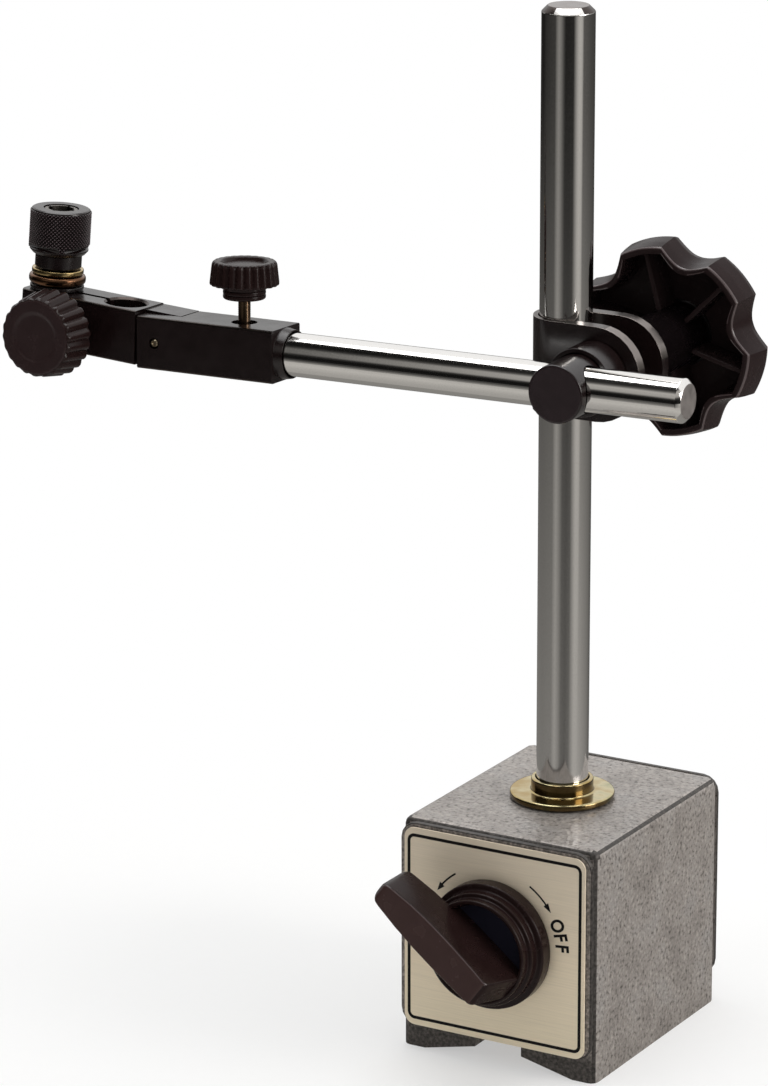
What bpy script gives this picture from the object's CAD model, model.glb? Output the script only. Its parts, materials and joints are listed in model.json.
import json
import math

import bmesh
import bpy
from mathutils import Matrix, Vector


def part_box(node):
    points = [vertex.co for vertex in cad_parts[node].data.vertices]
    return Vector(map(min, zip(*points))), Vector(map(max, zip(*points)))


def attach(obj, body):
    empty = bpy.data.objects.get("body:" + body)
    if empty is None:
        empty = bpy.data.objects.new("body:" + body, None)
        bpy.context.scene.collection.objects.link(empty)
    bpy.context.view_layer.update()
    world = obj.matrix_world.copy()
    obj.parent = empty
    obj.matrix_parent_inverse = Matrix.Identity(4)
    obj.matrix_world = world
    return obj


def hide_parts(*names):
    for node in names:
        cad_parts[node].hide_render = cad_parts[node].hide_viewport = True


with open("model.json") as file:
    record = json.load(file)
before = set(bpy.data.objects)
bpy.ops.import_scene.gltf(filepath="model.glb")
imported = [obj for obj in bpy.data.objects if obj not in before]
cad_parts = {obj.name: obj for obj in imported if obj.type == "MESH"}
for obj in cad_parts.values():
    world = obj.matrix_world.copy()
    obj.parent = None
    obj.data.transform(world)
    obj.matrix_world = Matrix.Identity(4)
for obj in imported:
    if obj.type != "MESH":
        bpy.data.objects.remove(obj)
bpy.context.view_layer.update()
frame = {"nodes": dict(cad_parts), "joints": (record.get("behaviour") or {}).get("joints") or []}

bl_info = {
    "name": "Magnetic indicator stand",
    "version": (1, 0, 0),
    "blender": (4, 5, 0),
    "location": "3D View > Sidebar > Stand",
    "description": "Models the finished surfaces of a magnetic indicator stand on its CAD frame",
    "category": "Object",
}

NODES = frame["nodes"]
JOINTS = {joint["name"]: joint for joint in frame["joints"]}
MM = 0.001
SEAT_GAP = 0.3
CORE_SPREAD = 0.58
ARM_SEAT = 79.5
CROSS_HOLE = 5.3
CHEEK_FACE = 7.7
PIN_RADIUS = 1.0
MERGE_DISTANCE = 0.000001
SMOOTH_ANGLE = math.radians(38.0)


def linear(code):
    """Turn an sRGB hex colour into linear values."""
    values = [int(code[start:start + 2], 16) / 255 for start in (1, 3, 5)]
    return tuple(v / 12.92 if v <= 0.04045 else ((v + 0.055) / 1.055) ** 2.4 for v in values)


def length(name, description, default):
    """Return a length property, its default given in millimetres."""
    return bpy.props.FloatProperty(
        name=name, description=description, default=default * MM, unit="LENGTH", precision=5, min=0.0
    )


def colour(name, description, code):
    """Return a colour property from an sRGB hex colour."""
    return bpy.props.FloatVectorProperty(
        name=name, description=description, default=linear(code), subtype="COLOR", size=3, min=0.0, max=1.0
    )


class BaseSizes(bpy.types.PropertyGroup):
    """Sizes of what is seen on the magnet base."""

    collar_radius: length("Collar radius", "Radius of the foot collar's flange", 12.1)
    collar_boss: length("Collar boss", "Radius of the foot collar's boss", 7.2)
    border_width: length("Border width", "Width of the printed border line", 0.75)
    border_inset: length("Border inset", "Distance of the border line from the plate's top and foot", 1.45)
    border_side: length("Border side", "Distance of the border line from the plate's sides", 0.85)
    border_corner: length("Border corner", "Corner radius of the border line", 1.8)
    plate_corner: length("Plate corner", "Corner radius of the nameplate", 2.6)
    spindle_hole: length("Spindle hole", "Radius of the nameplate's hole for the spindle", 5.3)
    letter_height: length("Letter height", "Height of the printed switch letters", 3.4)
    arrow_line: length("Arrow line", "Width of the arrows' line", 0.42)
    dial_radius: length("Dial radius", "Radius on which the arrows and letters lie", 17.5)


class SwitchSizes(bpy.types.PropertyGroup):
    """Sizes of the switch knob."""

    flange_radius: length("Flange radius", "Radius of the disc's first step", 14.9)
    step_radius: length("Step radius", "Radius of the disc's second step", 13.4)
    rim_radius: length("Rim radius", "Radius of the disc's raised rim", 12.4)
    disc_depth: length("Disc depth", "Height of the rim in front of the nameplate", 8.5)
    grip_width: length("Grip width", "Width of the grip bar at its widest", 8.2)
    grip_reach: length("Grip reach", "Distance from the axis to the bar's nose", 24.7)
    grip_front: length("Grip front", "Height of the bar in front of the nameplate", 19.5)
    grip_depth: length("Grip depth", "Depth of the bar from its front to its back", 11.9)
    grip_fall: length("Grip fall", "How much lower the bar's front is at the nose", 1.3)


class ColumnSizes(bpy.types.PropertyGroup):
    """Sizes of the column and its clamp."""

    radius: length("Column radius", "Radius of the round column", 6.0)
    length: length("Column length", "Length of the column above the base", 184.2)
    chamfer: length("Column chamfer", "Chamfer round the column's top", 1.4)
    stud_radius: length("Stud radius", "Radius of the eye stud's head", 6.65)
    stud_front: length("Stud front", "Distance of the stud's face from the clamp's middle", 27.2)
    washer_radius: length("Washer radius", "Radius of the washer behind the strap", 9.3)
    knob_radius: length("Clamp knob radius", "Radius over the star knob's lobes", 23.1)
    knob_depth: length("Clamp knob depth", "Depth of the star knob's crown", 14.0)
    notch_depth: length("Notch depth", "Depth of the finger notches between the lobes", 3.6)


class ArmSizes(bpy.types.PropertyGroup):
    """Sizes of the arm and its fine adjustment."""

    rod_radius: length("Rod radius", "Radius of the arm's rod", 5.0)
    rod_tail: length("Rod tail", "Length of the rod beyond the eye stud", 28.9)
    rod_seat: length("Rod seat", "Distance from the eye stud to the rod's seat in the block", ARM_SEAT)
    screw_radius: length("Screw radius", "Radius of the fine screw over its thread", 1.45)
    thread_pitch: length("Thread pitch", "Pitch of the fine screw", 0.5)
    knob_radius: length("Fine knob radius", "Radius of the scalloped knob", 8.0)
    knob_place: length("Fine knob place", "Distance from the eye stud to the fine screw", 83.2)


class TipSizes(bpy.types.PropertyGroup):
    """Sizes of the collet post and of the fluted knob."""

    post_place: length("Post place", "Distance from the lever's pin to the post", 30.8)
    nut_radius: length("Nut radius", "Radius of the knurled nut", 7.1)
    nut_height: length("Nut height", "Height of the knurled nut", 10.5)
    knurl_depth: length("Knurl depth", "Height of the knurl's points", 0.34)
    grip_place: length("Fluted knob place", "Distance from the lever's pin to the fluted knob", 23.5)
    grip_radius: length("Fluted knob radius", "Radius of the fluted knob at its back", 10.2)
    grip_face: length("Fluted knob face", "Radius of the fluted knob at its face", 9.15)


class StandColours(bpy.types.PropertyGroup):
    """Colours of the stand's finishes."""

    enamel: colour("Enamel", "Body colour of the hammertone enamel", "#9c9793")
    enamel_dark: colour("Enamel specks", "Dark specks in the hammertone enamel", "#5a5551")
    enamel_pale: colour("Enamel flakes", "Pale flakes in the hammertone enamel", "#b6b0ab")
    plate: colour("Nameplate", "Champagne colour of the anodised nameplate", "#f6e8d0")
    print: colour("Print", "Ink of the border, arrows and letters", "#100e0e")
    zinc: colour("Zinc", "Yellow passivated zinc", "#b7a578")
    chrome: colour("Chrome", "Hard chrome plating", "#e6e4e1")
    plastic: colour("Moulded plastic", "Black moulded plastic of the knobs", "#201413")
    oxide: colour("Black oxide", "Black oxide on machined steel", "#160d0d")
    brass: colour("Brass", "Turned brass", "#bda574")
    bronze: colour("Bronze", "Dark turned bronze", "#6d4f3a")
    steel: colour("Steel", "Ground bright steel", "#a7a39e")
    floor: colour("Floor", "Pale studio floor", "#f7f7f6")


# Places of the assemblies, read from the frame's joints


def basis(origin, across, along, up):
    """Return a matrix from an origin and three axes."""
    matrix = Matrix((across, along, up)).transposed().to_4x4()
    matrix.translation = origin
    return matrix


def joint_place(name):
    return Vector(JOINTS[name]["pos_m"])


def joint_axis(name):
    return Vector(JOINTS[name]["axis"]).normalized()


def shifted(matrix, x=0.0, y=0.0, z=0.0):
    return matrix @ Matrix.Translation((x * MM, y * MM, z * MM))


FORWARD = Matrix.Rotation(math.radians(90.0), 4, "X")
REARWARD = Matrix.Rotation(math.radians(-90.0), 4, "X")
SIDEWAYS = Matrix.Rotation(math.radians(90.0), 4, "Y")
SWITCH_AXIS = joint_place("switch_turn")
COLUMN = Matrix.Translation(joint_place("column_turn"))
PLATE_LOW, PLATE_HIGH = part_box("nameplate")
PLATE_MIDDLE = (PLATE_LOW.z + PLATE_HIGH.z) / 2 - SWITCH_AXIS.z
PLATE = Matrix.Translation((SWITCH_AXIS.x, PLATE_LOW.y, SWITCH_AXIS.z)) @ FORWARD
SWITCH_REST = math.radians(36.7)
SWITCH = (
    Matrix.Translation((SWITCH_AXIS.x, PLATE_LOW.y - SEAT_GAP * MM, SWITCH_AXIS.z))
    @ Matrix.Rotation(SWITCH_REST, 4, "Y")
    @ FORWARD
)
CLAMP_ALONG = joint_axis("arm_tilt")
CLAMP_UP = Vector((0, 0, 1))
CLAMP = basis(joint_place("arm_tilt"), CLAMP_ALONG.cross(CLAMP_UP), CLAMP_ALONG, CLAMP_UP)
ARM_ACROSS = joint_axis("arm_roll")
ARM_UP = joint_axis("fine_knob_turn")
ARM = basis(
    joint_place("arm_roll") + ARM_ACROSS * ARM_SEAT * MM, ARM_ACROSS, ARM_UP.cross(ARM_ACROSS), ARM_UP
)
LEVER_UP = joint_axis("post_turn")
LEVER_ALONG = joint_axis("lever_tilt")
LEVER = basis(joint_place("lever_tilt"), LEVER_ALONG.cross(LEVER_UP), LEVER_ALONG, LEVER_UP)


# Modelling steps shared by the operators


def begin():
    """Leave edit mode and deselect everything."""
    if bpy.context.object and bpy.context.object.mode != "OBJECT":
        bpy.ops.object.mode_set(mode="OBJECT")
    bpy.ops.object.select_all(action="DESELECT")


def choose(obj, *others):
    """Select an object, with others where they are given, and make it the active one."""
    begin()
    for piece in (*others, obj):
        piece.select_set(True)
    bpy.context.view_layer.objects.active = obj


def put(obj, place):
    """Put a place into an object's mesh, so that the object itself stays at the origin."""
    choose(obj)
    obj.matrix_world = place
    bpy.ops.object.transform_apply(location=True, rotation=True, scale=True)


def start(shape, middle, size, turn=0.0):
    """Add a plane or a cube, give it its size and go on in edit mode with all of it selected."""
    begin()
    shape(size=1.0, location=middle, rotation=(0, 0, turn))
    obj = bpy.context.object
    obj.scale = size
    bpy.ops.object.transform_apply(location=True, rotation=True, scale=True)
    bpy.ops.object.mode_set(mode="EDIT")
    bpy.ops.mesh.select_all(action="SELECT")
    return obj


def clean():
    """Merge doubles and turn every normal outward."""
    bpy.ops.mesh.select_all(action="SELECT")
    bpy.ops.mesh.remove_doubles(threshold=MERGE_DISTANCE)
    bpy.ops.mesh.normals_make_consistent(inside=False)


def close_up():
    """Clean the mesh and leave edit mode."""
    clean()
    bpy.ops.object.mode_set(mode="OBJECT")


def pick(test):
    """Select the vertices of the mesh in edit mode that pass a test, and nothing else."""
    mesh = bmesh.from_edit_mesh(bpy.context.object.data)
    bpy.ops.mesh.select_mode(type="VERT")
    for vert in mesh.verts:
        vert.select = test(vert.co)
    mesh.select_flush(True)
    mesh.select_flush(False)
    bmesh.update_edit_mesh(bpy.context.object.data)


def modify(obj, kind, **settings):
    """Apply a modifier of a kind, with its settings."""
    modifier = obj.modifiers.new(kind.lower(), kind)
    for key, value in settings.items():
        setattr(modifier, key, value)
    bpy.ops.object.modifier_apply(modifier=modifier.name)


def extrude(step=(0, 0, 0)):
    """Extrude the selection by a step."""
    bpy.ops.mesh.extrude_region_move(TRANSFORM_OT_translate={"value": step})


def widen(x, y, middle):
    """Resize the selection along X and Y, seen from a point that stays."""
    bpy.ops.transform.resize(value=(x, y, 1.0), center_override=middle)


def shift(x=0.0, z=0.0):
    """Move the selection by millimetres."""
    bpy.ops.transform.translate(value=(x * MM, 0, z * MM))


def round_edges(test, radius, segments):
    """Bevel the edges whose ends both pass a test."""
    pick(test)
    bpy.ops.mesh.select_mode(type="EDGE")
    bpy.ops.mesh.bevel(offset=radius * MM, segments=segments, affect="EDGES")


def settle(obj, name, place, finish, body, stands_for=(), angle=SMOOTH_ANGLE):
    """Name a modelled piece, put its place into its mesh, finish it and let it ride on its body."""
    if bpy.context.object.mode != "OBJECT":
        close_up()
    obj.name = name
    obj.data.name = name
    put(obj, place)
    bpy.ops.object.shade_smooth_by_angle(angle=angle)
    # long walls keep their own direction up to their eased edges
    modify(obj, "WEIGHTED_NORMAL", keep_sharp=True)
    obj.data.materials.clear()
    obj.data.materials.append(FINISHES[finish])
    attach(obj, body)
    if stands_for:
        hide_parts(*stands_for)
    return obj


def eased(profile, radius, steps=3):
    """Round the corners of a profile of (radius, height) points."""
    points = [profile[0]]
    for before, corner, after in zip(profile, profile[1:], profile[2:]):
        corner_point = Vector(corner[:2])
        to_before = Vector(before[:2]) - corner_point
        to_after = Vector(after[:2]) - corner_point
        reach = min(radius, to_before.length * 0.45, to_after.length * 0.45)
        if reach < 0.01:
            points.append(corner)
            continue
        start = corner_point + to_before.normalized() * reach
        stop = corner_point + to_after.normalized() * reach
        for index in range(steps + 1):
            share = index / steps
            point = start.lerp(corner_point, share).lerp(corner_point.lerp(stop, share), share)
            points.append((point.x, point.y, *corner[2:]))
    points.append(profile[-1])
    return points


def tube(bore, radius, low, high):
    """Return the profile of a plain ring or sleeve."""
    return [(bore, low), (radius, low), (radius, high), (bore, high)]


def turn_profile(profile, sides, wave=None):
    """Model a turned piece in edit mode: a circle extruded and resized from one profile point to the next.

    A profile that starts on the axis has a face across its start, and another closes its end; any other
    profile is a ring that ends where it began. A wave gives the number of dips round the ring and how a
    point of it dips, and a profile point then names the depth of its dips.
    """
    solid = profile[0][0] == 0.0
    if solid:
        profile = profile[1:]
    if solid and profile[-1][0] == 0.0:
        profile = profile[:-1]
    if not solid:
        profile = [*profile, profile[0]]
    begin()
    radius, height = profile[0][:2]
    filling = "NGON" if solid else "NOTHING"
    bpy.ops.mesh.primitive_circle_add(
        vertices=sides, radius=radius * MM, fill_type=filling, location=(0, 0, height * MM)
    )
    obj = bpy.context.object
    bpy.ops.object.transform_apply(location=True, rotation=True, scale=True)
    bpy.ops.object.mode_set(mode="EDIT")
    bpy.ops.mesh.select_mode(type="VERT")
    bpy.ops.mesh.select_all(action="SELECT")
    if wave:
        dip_ring(sides, wave, radius, height, profile[0][2], 0.0)
    for before, after in zip(profile, profile[1:]):
        share = after[0] / before[0]
        extrude((0, 0, (after[1] - before[1]) * MM))
        widen(share, share, (0, 0, after[1] * MM))
        if wave:
            dip_ring(sides, wave, after[0], after[1], after[2], before[2] * share)
    return obj


def dip_ring(sides, wave, radius, height, depth, had):
    """Change the dips of the selected ring from the depth that it had to its own."""
    count, dip = wave
    if depth == had:
        return
    mesh = bmesh.from_edit_mesh(bpy.context.object.data)
    chosen = [vert.index for vert in mesh.verts if vert.select]
    points = sides // count
    for phase in range(points):
        amount = dip(phase / points)
        share = (radius - depth * amount) / (radius - had * amount)
        if share == 1.0:
            continue
        mesh = bmesh.from_edit_mesh(bpy.context.object.data)
        mesh.verts.ensure_lookup_table()
        for vert in mesh.verts:
            vert.select = False
        for index in chosen:
            co = mesh.verts[index].co
            turn = round(math.atan2(co.y, co.x) / math.tau * sides) % sides
            mesh.verts[index].select = turn % points == phase
        mesh.select_flush(False)
        bmesh.update_edit_mesh(bpy.context.object.data)
        widen(share, share, (0, 0, height * MM))
    mesh = bmesh.from_edit_mesh(bpy.context.object.data)
    mesh.verts.ensure_lookup_table()
    for index in chosen:
        mesh.verts[index].select = True
    mesh.select_flush(True)
    bmesh.update_edit_mesh(bpy.context.object.data)


def cut_away(obj, cutter):
    """Cut one modelled piece out of another and remove the cutter."""
    choose(obj)
    modify(obj, "BOOLEAN", operation="DIFFERENCE", solver="EXACT", object=cutter)
    bpy.data.objects.remove(cutter, do_unlink=True)


def coat(obj, finish, test):
    """Give a second finish to the faces whose normal and middle pass a test."""
    obj.data.materials.append(FINISHES[finish])
    choose(obj)
    bpy.ops.object.mode_set(mode="EDIT")
    bpy.ops.mesh.select_mode(type="FACE")
    bpy.ops.mesh.select_all(action="DESELECT")
    mesh = bmesh.from_edit_mesh(obj.data)
    for face in mesh.faces:
        face.select = test(face.normal, face.calc_center_median())
    bmesh.update_edit_mesh(obj.data)
    obj.active_material_index = len(obj.data.materials) - 1
    bpy.ops.object.material_slot_assign()
    bpy.ops.object.mode_set(mode="OBJECT")


def slanted(place=Matrix.Identity(4), limit=0.96):
    """Return a test for faces that are square to none of a place's axes, such as an eased edge."""
    axes = [place.col[index].xyz.normalized() for index in range(3)]
    return lambda normal, middle: max(abs(normal.dot(axis)) for axis in axes) < limit


def refine(node, name, finish, body, edge=0.0, segments=2, angle=SMOOTH_ANGLE):
    """Copy a machined CAD piece, merge it, round its edges and let the copy stand for it."""
    obj = NODES[node].copy()
    obj.data = NODES[node].data.copy()
    bpy.context.scene.collection.objects.link(obj)
    choose(obj)
    bpy.ops.mesh.customdata_custom_splitnormals_clear()
    bpy.ops.object.mode_set(mode="EDIT")
    bpy.ops.mesh.select_all(action="SELECT")
    bpy.ops.mesh.remove_doubles(threshold=MERGE_DISTANCE)
    bpy.ops.mesh.dissolve_limited(angle_limit=math.radians(0.6))
    bpy.ops.object.mode_set(mode="OBJECT")
    if edge:
        limit = {"limit_method": "ANGLE", "angle_limit": math.radians(42.0)}
        modify(obj, "BEVEL", width=edge * MM, segments=segments, **limit)
    return settle(obj, name, Matrix.Identity(4), finish, body, (node,), angle)


# Finishes


def add(tree, kind, links=None, inputs=None, **settings):
    """Add a node with its settings, its sockets' values and its links."""
    node = tree.nodes.new(kind)
    for key, value in settings.items():
        setattr(node, key, value)
    for socket, value in (inputs or {}).items():
        node.inputs[socket].default_value = value
    for socket, source in (links or {}).items():
        tree.links.new(source, node.inputs[socket])
    return node


def stops(node, points):
    """Set a colour ramp's stops."""
    ramp = node.color_ramp
    while len(ramp.elements) > 1:
        ramp.elements.remove(ramp.elements[-1])
    ramp.elements[0].position = points[0][0]
    ramp.elements[0].color = (*points[0][1], 1.0)
    for position, value in points[1:]:
        ramp.elements.new(position).color = (*value, 1.0)


def finish(name, base, roughness, metallic, **sockets):
    """Return a new material with its tree and shader, its even values set on the shader's own sockets."""
    material = bpy.data.materials.new(name)
    material.use_nodes = True
    material.diffuse_color = (*base, 1.0)
    shader = material.node_tree.nodes["Principled BSDF"]
    shader.inputs["Base Color"].default_value = (*base, 1.0)
    shader.inputs["Roughness"].default_value = roughness
    shader.inputs["Metallic"].default_value = metallic
    for socket, value in sockets.items():
        shader.inputs[socket.replace("_", " ")].default_value = value
    return material, material.node_tree, shader


def shade(value, share):
    return tuple(min(1.0, part * share) for part in value)


def shades(base, *shares):
    """Return a colour ramp's stops, each of them a share of a base colour."""
    return [(place, shade(base, share)) for place, share in shares]


def vary(tree, shader, pattern, points, roughness=None):
    """Let a pattern set the colour by a ramp's stops, and vary the roughness between two values."""
    tint = add(tree, "ShaderNodeValToRGB", {"Fac": pattern})
    stops(tint, points)
    tree.links.new(tint.outputs["Color"], shader.inputs["Base Color"])
    if roughness:
        span = {"From Min": 0.3, "From Max": 0.7, "To Min": roughness[0], "To Max": roughness[1]}
        spread = add(tree, "ShaderNodeMapRange", {"Value": pattern}, span)
        tree.links.new(spread.outputs["Result"], shader.inputs["Roughness"])


def film(tree, shader, over):
    """Lay a film over the drawn colour, which is multiplied by it."""
    sources = {"Color1": shader.inputs["Base Color"].links[0].from_socket, "Color2": over}
    both = add(tree, "ShaderNodeMixRGB", sources, {"Fac": 1.0}, blend_type="MULTIPLY")
    tree.links.new(both.outputs["Color"], shader.inputs["Base Color"])


def rise(tree, low, high, first=0.0, last=1.0):
    """Return a value that goes from first to last between two heights above the floor."""
    place = add(tree, "ShaderNodeTexCoord")
    parts = add(tree, "ShaderNodeSeparateXYZ", {"Vector": place.outputs["Object"]})
    span = {"From Min": low, "From Max": high, "To Min": first, "To Max": last}
    return add(tree, "ShaderNodeMapRange", {"Value": parts.outputs["Z"]}, span).outputs["Result"]


def relief(tree, shader, pattern, depth, strength):
    """Let a pattern raise the surface by a depth in millimetres."""
    bump = add(tree, "ShaderNodeBump", {"Height": pattern}, {"Distance": depth * MM, "Strength": strength})
    tree.links.new(bump.outputs["Normal"], shader.inputs["Normal"])


def object_noise(tree, size, detail=2.0, stretch=(1.0, 1.0, 1.0)):
    """Return noise on Object coordinates whose features are a size in millimetres."""
    place = add(tree, "ShaderNodeTexCoord")
    mapping = add(tree, "ShaderNodeMapping", {"Vector": place.outputs["Object"]}, {"Scale": stretch})
    grain = {"Scale": 1.0 / (size * MM), "Detail": detail, "Roughness": 0.55}
    return add(tree, "ShaderNodeTexNoise", {"Vector": mapping.outputs["Vector"]}, grain).outputs["Fac"]


def hammertone_enamel(colours):
    """Hammertone enamel, sprayed and stoved: a pebbled film with flakes, dark specks and soft clouds."""
    base = tuple(colours.enamel)
    material, tree, shader = finish("hammertone_enamel_sprayed", base, 0.42, 0.35, Coat_Weight=0.1)
    # flakes and specks are about 0.9 mm, pebbles about 1.2 mm across
    dark, pale = tuple(colours.enamel_dark), tuple(colours.enamel_pale)
    specks = object_noise(tree, 0.9, 4.0)
    vary(tree, shader, specks, [(0.31, dark), (0.46, base), (0.54, base), (0.68, pale)])
    # clouds about 9 mm across, warmer where the film is thick
    clouds = add(tree, "ShaderNodeValToRGB", {"Fac": object_noise(tree, 9.0, 3.0)})
    stops(clouds, [(0.34, (0.82, 0.80, 0.78)), (0.5, (1.0, 0.98, 0.96)), (0.66, (1.0, 1.0, 1.0))])
    film(tree, shader, clouds.outputs["Color"])
    place = add(tree, "ShaderNodeTexCoord")
    cells = {"Scale": 1.0 / (1.2 * MM), "Smoothness": 0.6}
    pebbles = add(
        tree, "ShaderNodeTexVoronoi", {"Vector": place.outputs["Object"]}, cells, feature="SMOOTH_F1"
    )
    relief(tree, shader, pebbles.outputs["Distance"], 0.3, 0.7)
    return material


def thin_enamel(name, base, foot):
    """Hammertone enamel, drawn thin over an edge or a front: darker, with fainter flakes.

    Foot is the share of the colour that is left low down, where dirt from the machine table stays.
    """
    material, tree, shader = finish(name, base, 0.45, 0.3)
    specks = object_noise(tree, 0.8, 4.0)
    vary(tree, shader, specks, shades(base, (0.35, 0.5), (0.5, 1.0), (0.65, 1.7)), (0.38, 0.52))
    film(tree, shader, rise(tree, 4.5 * MM, 8.0 * MM, foot, 1.0))
    relief(tree, shader, specks, 0.15, 0.6)
    return material


def anodised_plate(colours):
    """Anodised aluminium sheet, brushed along its width: fine level lines and a soft champagne sheen."""
    base = tuple(colours.plate)
    material, tree, shader = finish("anodised_aluminium_brushed", base, 0.38, 0.3)
    # brush lines about 0.25 mm apart, drawn that coarse so that they show
    lines = object_noise(tree, 0.25, 3.0, (0.02, 1.0, 1.0))
    vary(tree, shader, lines, shades(base, (0.30, 0.94), (0.55, 1.0), (0.75, 1.04)), (0.34, 0.44))
    relief(tree, shader, lines, 0.015, 0.2)
    # the sheen is greyer towards the top edge and warmer towards the foot
    sheen = add(tree, "ShaderNodeValToRGB", {"Fac": rise(tree, PLATE_LOW.z, PLATE_HIGH.z)})
    stops(sheen, [
        (0.0, (1.0, 1.0, 0.95)), (0.45, (1.0, 0.98, 0.94)),
        (0.8, (0.90, 0.89, 0.88)), (1.0, (0.82, 0.81, 0.81)),
    ])
    film(tree, shader, sheen.outputs["Color"])
    return material


def printed_ink(colours):
    """Screen-printed ink: matt black with a slightly uneven edge-to-edge density."""
    base = tuple(colours.print)
    material, tree, shader = finish("screen_printed_ink", base, 0.6, 0.0, Specular_IOR_Level=0.25)
    density = object_noise(tree, 0.6, 3.0)
    vary(tree, shader, density, shades(base, (0.3, 0.8), (0.7, 1.3)), (0.5, 0.62))
    return material


def yellow_zinc(name, straw, gold, pale, green):
    """Zinc plating, yellow passivated: a thin film that drifts between straw, gold and green."""
    material, tree, shader = finish(name, straw, 0.14, 1.0)
    drift = object_noise(tree, 6.0, 2.0)
    vary(tree, shader, drift, [(0.34, gold), (0.48, straw), (0.56, pale), (0.68, green)])
    # turning marks about 0.2 mm apart
    relief(tree, shader, object_noise(tree, 0.2, 2.0, (0.1, 0.1, 1.0)), 0.01, 0.2)
    return material


def hard_chrome(colours):
    """Hard chrome, ground before plating: a mirror drawn out along very fine grinding marks."""
    base = tuple(colours.chrome)
    material, tree, shader = finish("hard_chrome_ground", base, 0.08, 1.0)
    marks = object_noise(tree, 0.4, 4.0)
    vary(tree, shader, marks, shades(base, (0.25, 0.94), (0.5, 1.0), (0.8, 1.03)), (0.06, 0.11))
    relief(tree, shader, marks, 0.004, 0.15)
    return material


def moulded_plastic(name, base, gloss=0.2):
    """Phenolic plastic, compression moulded: deep black with a warm cast and a soft polish."""
    material, tree, shader = finish(name, base, 0.25, 0.0, Specular_IOR_Level=gloss)
    # flow marks about 4 mm, skin grain about 0.8 mm
    flow = object_noise(tree, 4.0, 3.0)
    vary(tree, shader, flow, shades(base, (0.3, 0.9), (0.55, 1.0), (0.75, 1.1)), (0.23, 0.29))
    relief(tree, shader, object_noise(tree, 0.8, 1.0), 0.003, 0.15)
    return material


def black_oxide(name, base):
    """Steel, machined and chemically blacked: brown-black, with a fine grain under an oily sheen."""
    material, tree, shader = finish(name, base, 0.28, 0.0)
    # oil left in smears about 3 mm long
    smears = object_noise(tree, 3.0, 3.0)
    vary(tree, shader, smears, shades(base, (0.3, 0.85), (0.5, 1.0), (0.75, 1.2)), (0.20, 0.27))
    relief(tree, shader, object_noise(tree, 1.0, 1.0), 0.002, 0.1)
    return material


def worn_knurl(place, groove, crest):
    """Blacked knurl, rolled in steel: the points are rubbed to brown and the grooves stay black.

    Groove and crest are the radii in millimetres between which the wear comes up.
    """
    base = linear("#090505")
    material, tree, shader = finish("knurl_black_oxide_worn", base, 0.3, 0.0)
    coordinates = add(tree, "ShaderNodeTexCoord")
    inverse = place.inverted()
    centring = {"Location": inverse.translation, "Rotation": inverse.to_euler()}
    mapping = add(tree, "ShaderNodeMapping", {"Vector": coordinates.outputs["Object"]}, centring)
    local = mapping.outputs["Vector"]
    flat = add(tree, "ShaderNodeVectorMath", {0: local}, {1: (1.0, 1.0, 0.0)}, operation="MULTIPLY")
    span = add(tree, "ShaderNodeVectorMath", {0: flat.outputs["Vector"]}, operation="LENGTH")
    height = add(
        tree,
        "ShaderNodeMapRange",
        {"Value": span.outputs["Value"]},
        {"From Min": groove * MM, "From Max": crest * MM},
    )
    wear = [(0.0, base), (0.35, linear("#180f0f")), (1.0, linear("#54464a"))]
    vary(tree, shader, height.outputs["Result"], wear)
    relief(tree, shader, object_noise(tree, 0.5, 3.0), 0.002, 0.2)
    return material


def turned_metal(name, base, roughness):
    """Brass, bronze or steel, turned: bright metal with fine rings and faint handling stains."""
    material, tree, shader = finish(name, base, roughness, 1.0)
    stains = object_noise(tree, 2.5, 3.0)
    stained = shades(base, (0.3, 0.82), (0.5, 1.0), (0.75, 1.08))
    vary(tree, shader, stains, stained, (roughness, roughness + 0.1))
    relief(tree, shader, object_noise(tree, 0.15, 2.0, (0.15, 0.15, 1.0)), 0.008, 0.25)
    return material


def sintered_ferrite():
    """Ferrite, sintered and ground: dull charcoal with a fine open grain."""
    base = linear("#4a4a4d")
    material, tree, shader = finish("ferrite_sintered", base, 0.7, 0.0)
    grain = object_noise(tree, 0.4, 5.0)
    vary(tree, shader, grain, shades(base, (0.3, 0.8), (0.7, 1.15)), (0.6, 0.8))
    relief(tree, shader, grain, 0.02, 0.4)
    return material


# Key, material name, colour and gloss of the mouldings: paler where hands rub, duller in the hollows
PLASTICS = (
    ("plastic_handled", "phenolic_plastic_handled", "#3c2b29", 0.2),
    ("plastic_deep", "phenolic_plastic_skirt", "#251c1c", 0.07),
    ("plastic_hub", "phenolic_plastic_hub", "#0d090a", 0.12),
    ("plastic_matt", "phenolic_plastic_sheltered", "#1c1b24", 0.02),
    ("plastic_rubbed", "phenolic_plastic_rubbed", "#4a3f3f", 0.6),
    ("plastic_tail", "phenolic_plastic_tail", "#241b1a", 0.02),
    ("plastic_face", "phenolic_plastic_face", "#2c2020", 0.2),
)
# Key, material name, colour and roughness of the bare metals: bright where cut, dull where sheared
METALS = (
    ("edge", "steel_edge_polished", "#857d79", 0.16),
    ("sheared", "steel_edge_sheared", "#4a4340", 0.24),
    ("pin", "steel_pin_nickelled", "#b9aa90", 0.2),
    ("face", "steel_end_face_turned", "#a8a29f", 0.5),
    ("bright", "steel_chamfer_rubbed", "#f0eeeb", 0.3),
    ("core", "brass_bar_milled", "#b89d62", 0.32),
    ("spring", "spring_steel_hardened", "#6f6a64", 0.3),
    ("screw", "steel_bronzed", "#7a6450", 0.2),
)
FINISHES = {}


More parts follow.
